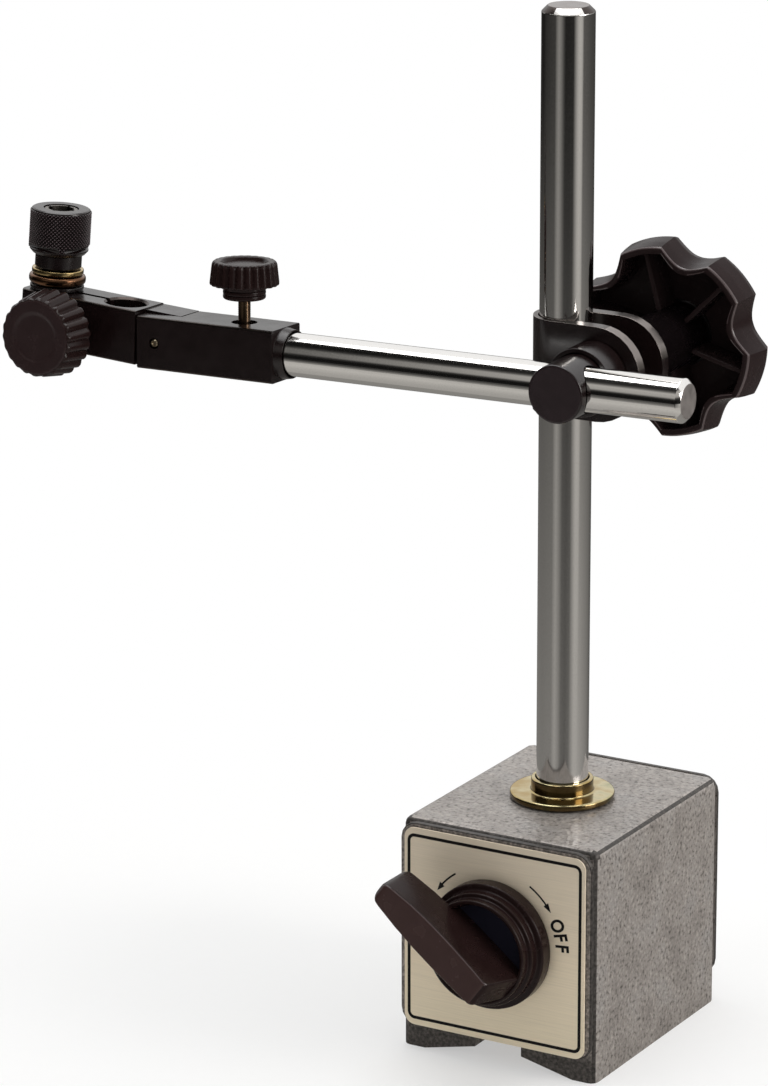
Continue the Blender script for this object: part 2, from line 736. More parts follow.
def make_finishes(colours):
    dark = tuple(colours.enamel_dark)
    FINISHES["enamel"] = hammertone_enamel(colours)
    FINISHES["enamel_edge"] = thin_enamel("hammertone_enamel_on_edges", shade(dark, 0.5), 0.8)
    FINISHES["enamel_front"] = thin_enamel("hammertone_enamel_on_fronts", shade(dark, 2.1), 0.35)
    FINISHES["plate"] = anodised_plate(colours)
    FINISHES["ink"] = printed_ink(colours)
    film_colours = [tuple(colours.zinc), linear("#a88f55"), linear("#c2b68e"), linear("#a3a07a")]
    FINISHES["zinc"] = yellow_zinc("zinc_plating_yellow_passivated", *film_colours)
    # the film is thicker and darker on the turned sides than on the flat top
    film_colours = [linear(code) for code in ("#6b5a3c", "#5f4d2e", "#776545", "#5f5a3d")]
    FINISHES["zinc_side"] = yellow_zinc("zinc_plating_on_turned_sides", *film_colours)
    FINISHES["chrome"] = hard_chrome(colours)
    FINISHES["oxide"] = black_oxide("steel_black_oxide", tuple(colours.oxide))
    FINISHES["oxide_face"] = black_oxide("steel_black_oxide_rubbed", linear("#22171a"))
    FINISHES["plastic"] = moulded_plastic("phenolic_plastic_moulded", tuple(colours.plastic))
    for key, name, code, gloss in PLASTICS:
        FINISHES[key] = moulded_plastic(name, linear(code), gloss)
    FINISHES["brass"] = turned_metal("brass_turned", tuple(colours.brass), 0.16)
    FINISHES["bronze"] = turned_metal("bronze_turned", tuple(colours.bronze), 0.18)
    FINISHES["steel"] = turned_metal("steel_ground_bright", tuple(colours.steel), 0.25)
    for key, name, code, roughness in METALS:
        FINISHES[key] = turned_metal(name, linear(code), roughness)
    FINISHES["ferrite"] = sintered_ferrite()


CARRIED_OVER = {
    "core": ("core_bottom", "rotor_hub_front", "rotor_hub_rear"),
    "steel": (
        *(f"{side}_cover_screw_{number}" for side in ("front", "rear") for number in range(1, 5)),
        "stop_pin", "rotor_segment_a", "rotor_segment_b", "lever_clamp_screw", "post_retainer",
    ),
    "ferrite": ("rotor_magnet",),
    "brass": ("knob_insert", "thrust_pad"),
    "spring": ("collet",),
}


class StandOperator:
    """What every operator of the stand shares."""

    bl_options = {"REGISTER", "UNDO"}


class STAND_OT_finishes(StandOperator, bpy.types.Operator):
    """Make the finishes and give them to the CAD pieces that stay as they are"""

    bl_idname = "stand.finishes"
    bl_label = "Finishes"

    def execute(self, context):
        make_finishes(context.scene.stand_colours)
        for finish_name, nodes in CARRIED_OVER.items():
            for node in nodes:
                for slot in NODES[node].material_slots:
                    slot.material = FINISHES[finish_name]
        return {"FINISHED"}


class STAND_OT_base(StandOperator, bpy.types.Operator):
    """Model the poles, the covers, the nameplate and the foot collar"""

    bl_idname = "stand.base"
    bl_label = "Base"

    def execute(self, context):
        sizes = context.scene.stand_base
        for side in ("left", "right"):
            pole = refine("pole_" + side, "painted_pole_" + side, "enamel", "base")
            coat(pole, "enamel_front", lambda normal, middle: normal.y < -0.9)
            coat(pole, "enamel_edge", slanted())
        self.core()
        for side, finish_name in (("front", "enamel_front"), ("rear", "enamel")):
            cover = refine(side + "_cover", "painted_" + side + "_cover", finish_name, "base")
            coat(cover, "enamel_edge", lambda normal, middle: abs(normal.y) < 0.97)
        self.plate(sizes)
        flange, boss = sizes.collar_radius / MM, sizes.collar_boss / MM
        bore, flange_top, boss_top = 6.3, 1.8, 4.9
        profile = [(bore, SEAT_GAP), (flange, SEAT_GAP), (flange, flange_top)]
        profile += [(boss, flange_top), (boss, boss_top), (bore, boss_top)]
        collar = turn_profile(eased(profile, 0.55), 96)
        settle(collar, "plated_collar", COLUMN, "zinc", "base", ("foot_collar",))
        coat(collar, "zinc_side", lambda normal, middle: normal.z < 0.5)
        return {"FINISHED"}

    def plate(self, sizes):
        """Model the nameplate: a plane with round corners, extruded, eased and cut for the spindle."""
        low, high = PLATE_LOW, PLATE_HIGH
        middle = (0, PLATE_MIDDLE, low.y - high.y)
        plate = start(bpy.ops.mesh.primitive_plane_add, middle, (high.x - low.x, high.z - low.z, 1.0))
        bpy.ops.mesh.bevel(offset=sizes.plate_corner, segments=12, affect="VERTICES")
        bpy.ops.mesh.select_all(action="SELECT")
        extrude((0, 0, high.y - low.y))
        round_edges(lambda co: co.z > -0.05 * MM, 0.1, 2)
        close_up()
        begin()
        bpy.ops.mesh.primitive_cylinder_add(vertices=64, radius=sizes.spindle_hole, depth=4 * MM)
        cut_away(plate, bpy.context.object)
        settle(plate, "brushed_nameplate", PLATE, "plate", "base", ("nameplate",))

    def core(self):
        """Copy the top core bar and widen it until the paint bridges its seams."""
        low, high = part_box("core_top")
        middle = (low + high) / 2
        core = refine("core_top", "painted_core_top", "enamel", "base")
        bpy.ops.object.mode_set(mode="EDIT")
        bpy.ops.mesh.select_all(action="SELECT")
        share = 1.0 + CORE_SPREAD * MM / (high.x - low.x)
        widen(share, 1.0, middle)
        bpy.ops.object.mode_set(mode="OBJECT")
        coat(core, "enamel_edge", slanted())


def flat_piece(obj, name, thickness=0.05):
    """Give a flat print its thickness, standing just proud of the nameplate."""
    bpy.ops.object.mode_set(mode="OBJECT")
    modify(obj, "SOLIDIFY", thickness=thickness * MM, offset=0.0)
    return settle(obj, name, PLATE, "ink", "base")


def polar(radius, degrees):
    angle = math.radians(degrees)
    return Vector((radius * math.cos(angle), radius * math.sin(angle), 0.0))


def print_border(sizes):
    """Model the border line: a plane with rounded corners, inset, and its middle deleted."""
    width = PLATE_HIGH.x - PLATE_LOW.x - 2 * sizes.border_side
    height = PLATE_HIGH.z - PLATE_LOW.z - 2 * sizes.border_inset
    obj = start(bpy.ops.mesh.primitive_plane_add, (0, PLATE_MIDDLE, 0), (width, height, 1.0))
    bpy.ops.mesh.bevel(offset=sizes.border_corner, segments=10, affect="VERTICES")
    bpy.ops.mesh.select_all(action="SELECT")
    bpy.ops.mesh.inset(thickness=sizes.border_width, depth=0.0)
    bpy.ops.mesh.delete(type="ONLY_FACE")
    flat_piece(obj, "plate_border")


ARROW_HEAD_SPAN = 7.0


def print_arrow(name, sizes, tail, head):
    """Model an arrow: a narrow plane spun along the dial circle, its end drawn out into a head."""
    radius, line = sizes.dial_radius, sizes.arrow_line
    foot = polar(radius, tail)
    sliver = (line, 0.02 * MM, 1.0)
    obj = start(bpy.ops.mesh.primitive_plane_add, foot, sliver, math.radians(tail))
    sign = 1.0 if head > tail else -1.0
    ahead = polar(1.0, tail + sign * 90.0)
    pick(lambda co: (co - foot).dot(ahead) > 0.0)
    shaft = head - sign * ARROW_HEAD_SPAN
    # the spin tool counts its angle the other way round
    bpy.ops.mesh.spin(steps=14, angle=math.radians(tail - shaft), center=(0, 0, 0), axis=(0, 0, 1))
    neck = polar(radius, shaft)
    pick(lambda co: (co - neck).length < 0.6 * line)
    extrude()
    widen(3.6, 3.6, neck)
    tip = polar(radius, head)
    extrude(tip - neck)
    widen(0.02, 0.02, tip)
    flat_piece(obj, name)


def print_letter(name, letter, sizes, degrees):
    """Model one letter as text made a mesh, standing on the dial circle with its top outwards."""
    begin()
    bpy.ops.object.text_add(location=(0, 0, 0))
    obj = bpy.context.object
    obj.data.body = letter
    obj.data.size = sizes.letter_height * 1.35
    obj.data.align_x = "CENTER"
    obj.data.align_y = "CENTER"
    obj.data.offset = 0.14 * MM
    bpy.ops.object.convert(target="MESH")
    obj = bpy.context.object
    turned = Matrix.Rotation(math.radians(degrees - 90.0), 4, "Z")
    narrowed = Matrix.Scale(0.84, 4, (1, 0, 0))
    obj.matrix_world = Matrix.Translation(polar(sizes.dial_radius, degrees)) @ turned @ narrowed
    bpy.ops.object.transform_apply(location=True, rotation=True, scale=True)
    bpy.ops.object.mode_set(mode="EDIT")
    bpy.ops.mesh.select_all(action="SELECT")
    bpy.ops.mesh.remove_doubles(threshold=MERGE_DISTANCE)
    flat_piece(obj, name)


class STAND_OT_print(StandOperator, bpy.types.Operator):
    """Model the nameplate's print: border, turning arrows and the words ON and OFF"""

    bl_idname = "stand.print"
    bl_label = "Print"

    def execute(self, context):
        sizes = context.scene.stand_base
        print_border(sizes)
        print_arrow("arrow_on", sizes, 124.5, 146.7)
        print_arrow("arrow_off", sizes, 58.3, 33.3)
        for name, letter, degrees in (
            ("letter_off_1", "O", 22.5), ("letter_off_2", "F", 13.6), ("letter_off_3", "F", 5.2),
            ("letter_on_1", "O", 170.0), ("letter_on_2", "N", 160.5),
        ):
            print_letter(name, letter, sizes, degrees)
        return {"FINISHED"}


# Station along the bar as a share of its reach, half width and fall of the front as shares
GRIP_STATIONS = (
    (1.0, 0.63, 1.0), (0.89, 0.75, 0.92), (0.65, 0.92, 0.85), (0.50, 0.97, 0.78), (0.40, 1.0, 0.7),
    (0.12, 1.0, 0.45), (-0.12, 0.95, 0.25), (-0.35, 0.87, 0.0),
)


class STAND_OT_switch(StandOperator, bpy.types.Operator):
    """Model the switch knob: stepped disc and grip bar"""

    bl_idname = "stand.switch"
    bl_label = "Switch knob"

    def execute(self, context):
        sizes = context.scene.stand_switch
        radii = (sizes.flange_radius, sizes.step_radius, sizes.rim_radius)
        flange, step, rim = (radius / MM for radius in radii)
        deep = sizes.disc_depth / MM
        hollow, roof, first, second, lip, slope, dish = 5.3, 4.3, 3.8, 6.2, 0.9, 1.0, deep - 2.8
        profile = [
            (0.0, roof), (hollow, roof), (hollow, 0.0), (flange, 0.0), (flange, first), (step, first),
            (step, second), (rim, second), (rim, deep), (rim - lip, deep), (rim - lip - slope, dish),
            (0.0, dish),
        ]
        disc = turn_profile(eased(profile, 0.5, 4), 128)
        close_up()
        choose(disc, self.grip(sizes))
        bpy.ops.object.join()
        settle(disc, "moulded_switch_knob", SWITCH, "plastic", "switch", ("switch_knob",))
        front = PLATE_LOW.y - 16 * MM
        tail = SWITCH.col[0].xyz
        coat(disc, "plastic_handled", lambda normal, middle: normal.y < -0.9 and middle.y < front)
        coat(disc, "plastic_rubbed", lambda normal, middle: -0.84 < normal.y < -0.5 and middle.y < front)
        behind = front + 7 * MM
        coat(disc, "plastic_tail", lambda normal, middle: normal.dot(tail) > 0.6 and middle.y < behind)
        edge = PLATE_LOW.y - (deep - 1.2) * MM
        reach = (rim - 1.2) * MM

        def in_dish(normal, middle):
            return normal.y < -0.5 and middle.y > edge and (middle - SWITCH_AXIS).xz.length < reach

        coat(disc, "plastic_matt", in_dish)
        return {"FINISHED"}

    def grip(self, sizes):
        """Model the bar: a block extruded from station to station, tapered, its nose and edges rounded."""
        reach, front, half = sizes.grip_reach, sizes.grip_front, sizes.grip_width / 2
        back, near = front - sizes.grip_depth, 0.05 * MM
        upper = back + 2 * MM
        wide, fall = GRIP_STATIONS[0][1:]
        lift = front - sizes.grip_fall * fall
        end = -reach * GRIP_STATIONS[1][0]
        middle = ((end - reach) / 2, 0, (back + lift) / 2)
        bar = start(bpy.ops.mesh.primitive_cube_add, middle, (end + reach, 2 * half * wide, lift - back))
        for along, width, drop in GRIP_STATIONS[1:]:
            to = -reach * along
            pick(lambda co: co.x > end - near)
            if to > end:
                extrude((to - end, 0, 0))
            widen(1.0, width / wide, (to, 0, 0))
            pick(lambda co: co.x > to - near and co.z > upper)
            bpy.ops.transform.translate(value=(0, 0, front - sizes.grip_fall * drop - lift))
            end, wide, lift = to, width, front - sizes.grip_fall * drop
        # the tail slopes out to the rim, and the middle reaches down into the dish
        pick(lambda co: co.x > end - near and co.z < back + near)
        shift(3.6)
        pick(lambda co: co.x > -11.0 * MM and co.z < back + near)
        shift(0.0, -2.4)
        round_edges(lambda co: co.x < -reach + near, 1.7, 6)
        round_edges(lambda co: co.x > end - near and co.z > upper, 1.2, 6)
        close_up()
        limit = {"limit_method": "ANGLE", "angle_limit": math.radians(28.0)}
        modify(bar, "BEVEL", width=0.5 * MM, segments=3, **limit)
        return bar


class STAND_OT_column(StandOperator, bpy.types.Operator):
    """Model the round column"""

    bl_idname = "stand.column"
    bl_label = "Column"

    def execute(self, context):
        sizes = context.scene.stand_column
        low = (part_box("column")[0].z - COLUMN.translation.z) / MM
        radius, top, chamfer = sizes.radius / MM, sizes.length / MM, sizes.chamfer / MM
        spigot = 4.0
        profile = [(0.0, low), (spigot, low), (spigot, SEAT_GAP), (radius, SEAT_GAP)]
        profile += [(radius, top - chamfer), (radius - chamfer, top), (0.0, top)]
        column = turn_profile(eased(profile, 0.15, 2), 128)
        settle(column, "plated_column", COLUMN, "chrome", "column", ("column",), math.radians(25.0))
        coat(column, "edge", lambda normal, middle: normal.z > 0.97)
        # the chamfer is rubbed bright on the side from which the stand is handled, and dull round the rest
        handled = Vector((0.5, -0.86, 0.0))

        def on_chamfer(normal, middle):
            return 0.2 < normal.z < 0.97

        def on_handled_chamfer(normal, middle):
            return on_chamfer(normal, middle) and normal.dot(handled) > 0.57

        coat(column, "sheared", on_chamfer)
        coat(column, "bright", on_handled_chamfer)
        return {"FINISHED"}


class STAND_OT_clamp(StandOperator, bpy.types.Operator):
    """Model the strap, washer, saddle sleeve and eye stud"""

    bl_idname = "stand.clamp"
    bl_label = "Clamp"

    def execute(self, context):
        sizes = context.scene.stand_column
        strap = refine("clamp_strap", "bent_strap", "oxide", "clamp", 0.36, 3)
        coat(strap, "sheared", lambda normal, middle: abs(normal.z) >= 0.97)
        coat(strap, "edge", lambda normal, middle: 0.25 < abs(normal.z) < 0.97)
        ring = turn_profile(eased(tube(4.3, sizes.washer_radius / MM, CHEEK_FACE, 9.2), 0.35), 96)
        settle(ring, "turned_washer", CLAMP @ REARWARD, "oxide", "clamp", ("clamp_washer",))
        head, front = sizes.stud_radius / MM, sizes.stud_front / MM
        shank, chamfer, end, shoulder = 4.0, 0.6, -27.0, 8.2
        profile = [(0.0, end), (shank - chamfer, end), (shank, end + chamfer), (shank, shoulder)]
        profile += [(head, shoulder), (head, front), (0.0, front)]
        stud = turn_profile(eased(profile, 0.55, 4), 96)
        self.place_and_cut(stud)
        settle(stud, "turned_eye_stud", Matrix.Identity(4), "oxide", "eye_stud", ("clamp_stud",))
        coat(stud, "oxide_face", lambda normal, middle: normal.dot(CLAMP_ALONG) < -0.97)
        sleeve = turn_profile(eased(tube(6.95, 7.85, CHEEK_FACE, 16.0), 0.25), 96)
        self.place_and_cut(sleeve)
        settle(sleeve, "turned_sleeve", Matrix.Identity(4), "oxide", "eye_stud", ("saddle_sleeve",))
        return {"FINISHED"}

    def place_and_cut(self, obj):
        """Put a turned piece on the stud's axis and cut the rod's cross hole through it."""
        close_up()
        put(obj, CLAMP @ FORWARD)
        begin()
        bpy.ops.mesh.primitive_cylinder_add(vertices=96, radius=CROSS_HOLE * MM, depth=24 * MM)
        cutter = bpy.context.object
        put(cutter, ARM @ SIDEWAYS)
        cut_away(obj, cutter)


# Sections of the star knob: place along its depth, radius and notch depth as shares
CROWN = (
    (1.0, 0.13, 0.0), (0.97, 0.50, 0.0), (0.90, 0.74, 0.3), (0.82, 0.87, 0.6), (0.67, 0.972, 0.88),
    (0.53, 1.0, 0.94), (0.25, 0.98, 0.98), (0.04, 0.957, 1.0), (0.0, 0.94, 0.97),
)
HOLLOW = (
    (0.0, 0.88, 0.97), (0.30, 0.90, 0.95), (0.60, 0.88, 0.85), (0.70, 0.79, 0.5), (0.73, 0.60, 0.0),
)
NOTCH_BEARING = 45.0
LOBES = 6


def round_dip(share):
    """Return how far a point of a finger notch dips: round in the notch and nothing on the lobe."""
    turn = 360.0 / LOBES * min(share, 1.0 - share)
    return max(0.0, 1.0 - (turn / 16.0) ** 2)


class STAND_OT_clamp_knob(StandOperator, bpy.types.Operator):
    """Model the six-lobed clamp knob with its hollow and webs"""

    bl_idname = "stand.clamp_knob"
    bl_label = "Clamp knob"

    def execute(self, context):
        sizes = context.scene.stand_column
        full, deep, notch = sizes.knob_radius / MM, sizes.knob_depth / MM, sizes.notch_depth / MM
        low, hub_radius, hub_end, bore, bore_end = 25.5, 7.1, 9.5, 5.9, 29.0
        crown = [(full * wide, low + deep * place, notch * dip) for place, wide, dip in CROWN]
        hollow = [(full * wide, low + deep * place, notch * dip) for place, wide, dip in HOLLOW]
        floor = hollow[-1][1]
        hub = [
            (hub_radius + 0.5, floor, 0.0), (hub_radius, floor - 0.5, 0.0), (hub_radius, hub_end, 0.0),
            (bore, hub_end, 0.0), (bore, bore_end, 0.0),
        ]
        outline = eased([*crown, *hollow, *hub], 0.5, 2)
        profile = [(0.0, crown[0][1], 0.0), *outline, (0.0, bore_end, 0.0)]
        knob = turn_profile(profile, LOBES * 30, (LOBES, round_dip))
        close_up()
        choose(knob, *[self.web(index, low, floor, full) for index in range(LOBES)])
        bpy.ops.object.join()
        place = CLAMP @ REARWARD @ Matrix.Rotation(math.radians(NOTCH_BEARING), 4, "Z")
        settle(knob, "moulded_star_knob", place, "plastic_deep", "clamp_knob", ("clamp_knob",))
        inverse = place.inverted()
        turned = inverse.to_3x3()

        def on_hub(normal, middle):
            at = inverse @ middle
            return at.xy.length < 8.2 * MM and at.z < (floor + 0.6) * MM

        def on_rim(normal, middle):
            at = inverse @ middle
            outside = at.z < (low + 1.2) * MM and at.xy.length > 12.0 * MM
            return outside and -0.93 < (turned @ normal).z < -0.3

        coat(knob, "plastic_hub", on_hub)
        coat(knob, "plastic_rubbed", on_rim)
        return {"FINISHED"}

    def web(self, index, low, floor, full):
        """Model one thin web from the hub to the skirt, its front edge rounded, turned to its place."""
        near, far, thick, front = 6.6, full * 0.93, 1.2, low + 2.2
        middle = Vector((near + far, 0, front + floor)) / 2 * MM
        size = Vector((far - near, thick, floor - front)) * MM
        web = start(bpy.ops.mesh.primitive_cube_add, middle, size)
        pick(lambda co: co.x > (far - 0.1) * MM and co.z > (floor - 0.1) * MM)
        shift(-1.4, -0.4)
        pick(lambda co: co.z > (floor - 0.6) * MM)
        shift(0.0, 0.6)
        round_edges(lambda co: co.z < (front + 0.1) * MM, 0.35, 3)
        close_up()
        put(web, Matrix.Rotation(math.tau * (index + 0.5) / LOBES, 4, "Z"))
        return web


class STAND_OT_arm(StandOperator, bpy.types.Operator):
    """Model the arm's rod, the end block and the lever"""

    bl_idname = "stand.arm"
    bl_label = "Arm"

    def execute(self, context):
        sizes = context.scene.stand_arm
        radius, tail, seat = sizes.rod_radius / MM, sizes.rod_tail / MM, sizes.rod_seat / MM
        chamfer, near = 1.1, -seat + SEAT_GAP
        profile = [(0.0, near), (radius - chamfer, near), (radius, near + chamfer)]
        profile += [(radius, tail - chamfer), (radius - chamfer, tail), (0.0, tail)]
        rod = turn_profile(eased(profile, 0.12, 2), 128)
        settle(rod, "plated_rod", ARM @ SIDEWAYS, "chrome", "arm", ("arm_rod",), math.radians(25.0))
        coat(rod, "face", lambda normal, middle: abs(normal.dot(ARM_ACROSS)) > 0.97)
        block = refine("end_block", "machined_block", "oxide", "end_block", 0.16)
        inverse = ARM.inverted()
        mouth = max((inverse @ vert.co).x for vert in block.data.vertices) - 2.2 * MM
        worn = slanted(ARM, 0.93)

        def rubbed(normal, middle):
            return (inverse @ middle).x < mouth and worn(normal, middle)

        coat(block, "sheared", rubbed)
        lever = refine("lever", "machined_lever", "oxide", "lever", 0.16)
        coat(lever, "sheared", slanted(LEVER, 0.93))
        self.pin()
        return {"FINISHED"}

    def pin(self):
        """Model the lever's pin: turned, each end eased and dimpled where it was staked."""
        low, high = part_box("pivot_pin")
        radius = PIN_RADIUS
        # the box of a slanted pin is its length along each axis and a little of its width
        width = radius * MM * math.sqrt(1 - LEVER_ALONG.y ** 2)
        half = ((high - low).y / 2 - width) / abs(LEVER_ALONG.y) / MM
        end = [(0.3, half - 0.25), (0.45, half), (0.75, half), (radius, half - 0.3)]
        profile = [(0.0, -half + 0.25), *[(r, -z) for r, z in end], *reversed(end), (0.0, half - 0.25)]
        pin = turn_profile(profile, 48)
        settle(pin, "staked_pivot_pin", LEVER @ FORWARD, "pin", "end_block", ("pivot_pin",))
        return {"FINISHED"}


def sharp_dip(share):
    """Return how far a point dips between two crests, most at the wave's start."""
    return (0.5 + 0.5 * math.cos(math.tau * share)) ** 2.0


class STAND_OT_fine_adjustment(StandOperator, bpy.types.Operator):
    """Model the fine screw and its scalloped knob"""

    bl_idname = "stand.fine_adjustment"
    bl_label = "Fine adjustment"

    def execute(self, context):
        sizes = context.scene.stand_arm
        place = shifted(ARM, -sizes.knob_place / MM)
        inverse = place.inverted()
        low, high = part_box("fine_screw")
        foot = (inverse @ Vector(((low.x + high.x) / 2, (low.y + high.y) / 2, low.z))).z / MM
        radius, pitch = sizes.screw_radius / MM, sizes.thread_pitch / MM
        thread_end, screw_top, thread_depth = 17.0, 17.5, 0.08
        profile = [(0.0, foot), (radius, foot)]
        height = foot + pitch
        while height < thread_end:
            profile += [(radius - thread_depth, height + pitch / 2), (radius, height + pitch)]
            height += pitch
        profile += [(radius, screw_top), (0.0, screw_top)]
        screw = turn_profile(profile, 40)
        settle(screw, "threaded_fine_screw", place, "screw", "fine_knob", ("fine_screw",))
        rim = sizes.knob_radius / MM
        bore, roof, hub, foot, head, top = 1.75, 17.8, 4.9, 11.6, 14.8, 20.3
        outline = [(bore, roof, 0.0), (bore, foot, 0.0), (hub - 0.3, foot, 0.0), (hub, foot + 0.3, 0.0)]
        for groove in (12.7, 13.7):
            outline += [(hub, groove - 0.1, 0.0), (hub - 0.3, groove, 0.0), (hub, groove + 0.1, 0.0)]
        outline += [
            (hub, head, 0.0), (rim - 0.2, head, 0.5), (rim, head + 0.4, 0.6), (rim - 0.5, top - 0.7, 0.6),
            (rim - 1.0, top, 0.25), (hub + 0.5, top, 0.0), (hub + 0.1, top - 0.8, 0.0),
        ]
        profile = [(0.0, roof, 0.0), *eased(outline, 0.3, 2), (0.0, top - 0.8, 0.0)]
        knob = turn_profile(profile, 24 * 8, (24, sharp_dip))
        settle(knob, "moulded_fine_knob", place, "plastic", "fine_knob", ("fine_knob",))
        return {"FINISHED"}


class STAND_OT_post(StandOperator, bpy.types.Operator):
    """Model the collet post with its rings and the knurled nut"""

    bl_idname = "stand.post"
    bl_label = "Collet post"

    def execute(self, context):
        sizes = context.scene.stand_tip
        place = shifted(LEVER, -sizes.post_place / MM)
        for name, node, finish_name, radius, low, high, edge in (
            ("turned_base_ring", "base_ring", "oxide", 6.25, 6.9, 7.8, 0.25),
            ("turned_bronze_ring", "bronze_ring", "bronze", 6.6, 8.1, 10.2, 0.9),
            ("turned_brass_ring", "brass_ring", "brass", 6.0, 10.5, 11.6, 0.3),
        ):
            ring = turn_profile(eased(tube(3.8, radius, low, high), edge, 4), 80)
            settle(ring, name, place, finish_name, "collet_post", (node,))
        shank, collar, thread, bore = 3.5, 5.4, 5.2, 3.0
        foot, seat, shoulder, mouth, floor = -8.3, 11.9, 14.9, 19.4, 13.4
        profile = [
            (0.0, foot), (shank - 0.5, foot), (shank, foot + 0.5), (shank, seat), (collar, seat),
            (collar, shoulder), (thread, shoulder), (thread, mouth), (bore, mouth), (bore, floor),
            (0.0, floor),
        ]
        post = turn_profile(eased(profile, 0.3), 80)
        settle(post, "turned_collet_post", place, "oxide", "collet_post", ("collet_post",))
        self.nut(sizes, place)
        return {"FINISHED"}

    def nut(self, sizes, place):
        """Model the nut: turned, its wall cut into a lattice of diamonds that are raised to points."""
        radius, low = sizes.nut_radius / MM, 15.2
        top = low + sizes.nut_height / MM
        foot, roof, rows, bore, mouth = low + 1.1, top - 0.5, 10, 5.5, 4.1
        root = radius - 0.28
        wall = [(root, foot + (roof - foot) * row / rows) for row in range(rows + 1)]
        profile = [(bore, low), (radius - 1.0, low), (radius - 0.3, low + 0.8), *wall]
        profile += [(radius - 0.35, top - 0.2), (radius - 0.65, top)]
        profile += [(mouth, top), (mouth, top - 1.2), (bore, 19.7)]
        nut = turn_profile(profile, 48)
        clean()

        def on_wall(co):
            return co.xy.length > (radius - 0.4) * MM and foot - 0.01 < co.z / MM < roof + 0.01

        pick(on_wall)
        bpy.ops.mesh.select_mode(type="FACE")
        mesh = bmesh.from_edit_mesh(nut.data)
        old = {vert.index for vert in mesh.verts}
        bpy.ops.mesh.poke()
        mesh = bmesh.from_edit_mesh(nut.data)
        bpy.ops.mesh.select_mode(type="EDGE")
        bpy.ops.mesh.select_all(action="DESELECT")
        for edge in mesh.edges:
            first, second = edge.verts
            inside = all(foot + 0.01 < vert.co.z / MM < roof - 0.01 for vert in edge.verts)
            upright = abs(first.co.z - second.co.z) > 0.1 * MM
            level = not upright and inside
            known = first.index in old and second.index in old
            edge.select = known and (upright or level) and all(on_wall(vert.co) for vert in edge.verts)
        bmesh.update_edit_mesh(nut.data)
        bpy.ops.mesh.dissolve_edges(use_verts=False)
        pick(on_wall)
        bpy.ops.mesh.select_mode(type="FACE")
        bpy.ops.mesh.poke(offset=sizes.knurl_depth, use_relative_offset=False)
        flat = math.radians(15.0)
        settle(nut, "knurled_collet_nut", place, "oxide", "collet_nut", ("collet_nut",), flat)
        inverse = place.inverted()

        def on_knurl(normal, middle):
            return on_wall(inverse @ middle)

        FINISHES["knurl"] = worn_knurl(place, root, radius + 0.02)
        coat(nut, "knurl", on_knurl)


class STAND_OT_fluted_knob(StandOperator, bpy.types.Operator):
    """Model the fluted knob that closes the lever's split"""

    bl_idname = "stand.fluted_knob"
    bl_label = "Fluted knob"

    def execute(self, context):
        sizes = context.scene.stand_tip
        place = shifted(LEVER, -sizes.grip_place / MM, 0.0, -0.5) @ FORWARD
        rim, face = sizes.grip_radius / MM, sizes.grip_face / MM
        bore, bore_end, hub, near, back, front = 2.8, 12.6, 5.0, 6.6, 11.6, 20.1
        sunk = front - 0.3
        outline = [
            (bore, bore_end, 0.0), (bore, near, 0.0), (hub, near, 0.0), (hub, back, 0.0),
            (rim - 0.5, back, 0.5), (rim, back + 0.6, 0.75), (face + 0.1, front - 0.8, 0.7),
            (face - 0.6, front, 0.15), (face - 3.2, front, 0.0), (face - 3.9, sunk, 0.0), (4.0, sunk, 0.0),
        ]
        profile = [(0.0, bore_end, 0.0), *eased(outline, 0.4, 3), (0.0, sunk, 0.0)]
        knob = turn_profile(profile, 22 * 8, (22, sharp_dip))
        settle(knob, "fluted_lever_knob", place, "plastic", "lever_clamp", ("lever_clamp_knob",))
        coat(knob, "plastic_face", lambda normal, middle: normal.dot(LEVER_ALONG) < -0.9)
        return {"FINISHED"}


# Stage


CAMERA_TARGET = Vector((COLUMN.translation.x - 47.3216 * MM, COLUMN.translation.y, 109.1987 * MM))
CAMERA_AZIMUTH = 30.3422
CAMERA_ELEVATION = 16.6718
CAMERA_ROLL = -0.1379
CAMERA_DISTANCE = 1173.6292 * MM
CAMERA_LENS = 168.06


def add_camera():
    """Place the camera at the photograph's angle."""
    azimuth, elevation = math.radians(CAMERA_AZIMUTH), math.radians(CAMERA_ELEVATION)
    level = Vector((math.sin(azimuth), -math.cos(azimuth), 0.0))
    back = level * math.cos(elevation) + Vector((0, 0, math.sin(elevation)))
    right = (-back).cross(Vector((0, 0, 1))).normalized()
    up = right.cross(-back)
    roll = math.radians(CAMERA_ROLL)
    turned_right = right * math.cos(roll) + up * math.sin(roll)
    turned_up = up * math.cos(roll) - right * math.sin(roll)
    data = bpy.data.cameras.new("photo_camera")
    data.lens = CAMERA_LENS
    data.sensor_width = 36.0
    data.clip_start = 0.01
    data.clip_end = 50.0
    camera = bpy.data.objects.new("photo_camera", data)
    bpy.context.scene.collection.objects.link(camera)
    camera.matrix_world = basis(CAMERA_TARGET + back * CAMERA_DISTANCE, turned_right, turned_up, back)
    bpy.context.scene.camera = camera


